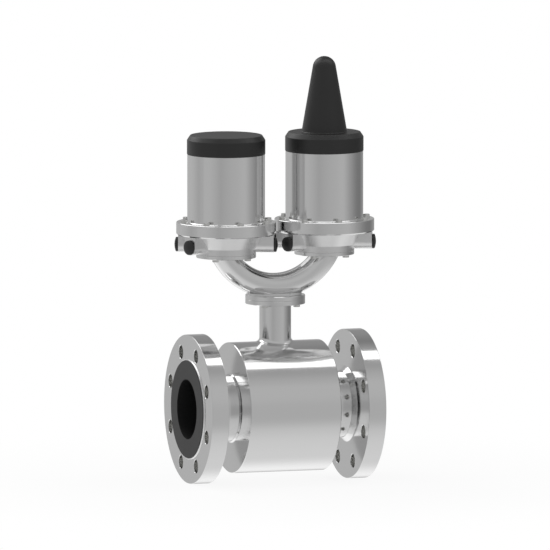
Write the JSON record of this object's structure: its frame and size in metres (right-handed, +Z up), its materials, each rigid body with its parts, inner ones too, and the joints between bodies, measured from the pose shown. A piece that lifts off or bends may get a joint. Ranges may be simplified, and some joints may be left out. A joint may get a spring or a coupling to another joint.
{
  "type": "electromagnetic flow meter",
  "caption": "Flanged electromagnetic flow meter: rubber-lined pipe, round coil housing, and two upright electronics canisters on a U-shaped manifold, one with an antenna dome.",
  "frame": {"origin": "centre of the measuring bore, midway between the two flange faces", "axes": "+X with the flow from the inlet to the outlet flange, +Z up through the neck, +Y to the rear"},
  "size_m": [0.2742, 0.2, 0.5685],
  "materials": {
    "polished_stainless": "polished stainless steel, welds ground flush",
    "bolt_steel": "stainless steel fasteners and electrodes",
    "liner_rubber": "black lining rubber",
    "seal_rubber": "black O-ring rubber",
    "black_rubber_plug": "black blanking plugs",
    "black_plastic": "black moulded plastic, fine matt texture",
    "copper_winding": "enamelled copper winding",
    "electrical_steel": "electrical sheet steel",
    "insulating_plastic": "natural engineering plastic",
    "carrier_plastic": "dark grey moulded plastic",
    "circuit_board": "green solder resist",
    "terminal_plastic": "green terminal plastic",
    "display": "display in a black frame",
    "cell_sleeve": "blue sleeve of a lithium cell",
    "antenna_brass": "plated brass rod antenna"
  },
  "bodies": {
    "meter": {"antenna_rod": "antenna_brass", "battery_cells": "cell_sleeve", "battery_clamp": "carrier_plastic", "battery_holder": "carrier_plastic", "board_carrier": "carrier_plastic", "canister_screws": "bolt_steel", "display_board": "circuit_board", "display_module": "display", "electrode_nuts": "bolt_steel", "foot_bolts": "bolt_steel", "front_electrode": "bolt_steel", "front_electrode_bush": "insulating_plastic", "inlet_end_plate": "polished_stainless", "inlet_flange": "polished_stainless", "left_base_casting": "polished_stainless", "left_base_seal": "seal_rubber", "left_canister_flange": "polished_stainless", "left_canister_tube": "polished_stainless", "left_cap_seal": "seal_rubber", "left_foot_flange": "polished_stainless", "left_foot_seal": "seal_rubber", "left_plug_left_front": "black_rubber_plug", "left_plug_left_rear": "black_rubber_plug", "left_plug_right_front": "black_rubber_plug", "left_plug_right_rear": "black_rubber_plug", "left_threaded_collar": "polished_stainless", "lower_coil": "copper_winding", "magnet_yoke": "electrical_steel", "main_board": "circuit_board", "manifold_flange": "polished_stainless", "manifold_tube": "polished_stainless", "measuring_pipe": "polished_stainless", "modem_board": "circuit_board", "neck_bolts": "bolt_steel", "neck_flange": "polished_stainless", "neck_seal": "seal_rubber", "neck_tube": "polished_stainless", "outlet_end_plate": "polished_stainless", "outlet_flange": "polished_stainless", "rear_electrode": "bolt_steel", "rear_electrode_bush": "insulating_plastic", "right_base_casting": "polished_stainless", "right_base_seal": "seal_rubber", "right_canister_flange": "polished_stainless", "right_canister_tube": "polished_stainless", "right_cap_seal": "seal_rubber", "right_foot_flange": "polished_stainless", "right_foot_seal": "seal_rubber", "right_plug_left_front": "black_rubber_plug", "right_plug_left_rear": "black_rubber_plug", "right_plug_right_front": "black_rubber_plug", "right_plug_right_rear": "black_rubber_plug", "right_threaded_collar": "polished_stainless", "rubber_liner": "liner_rubber", "sensor_shell": "polished_stainless", "terminal_block": "terminal_plastic", "upper_coil": "copper_winding"},
    "display_lid_body": {"display_lid": "black_plastic"},
    "antenna_cap_body": {"antenna_cap": "black_plastic"}
  },
  "joints": [
    {"name": "display_lid_lift", "type": "slide", "parent": "meter", "child": "display_lid_body", "axis": [0, 0, 1], "range_m": [0, 0.04]},
    {"name": "antenna_cap_lift", "type": "slide", "parent": "meter", "child": "antenna_cap_body", "axis": [0, 0, 1], "range_m": [0, 0.12]}
  ]
}
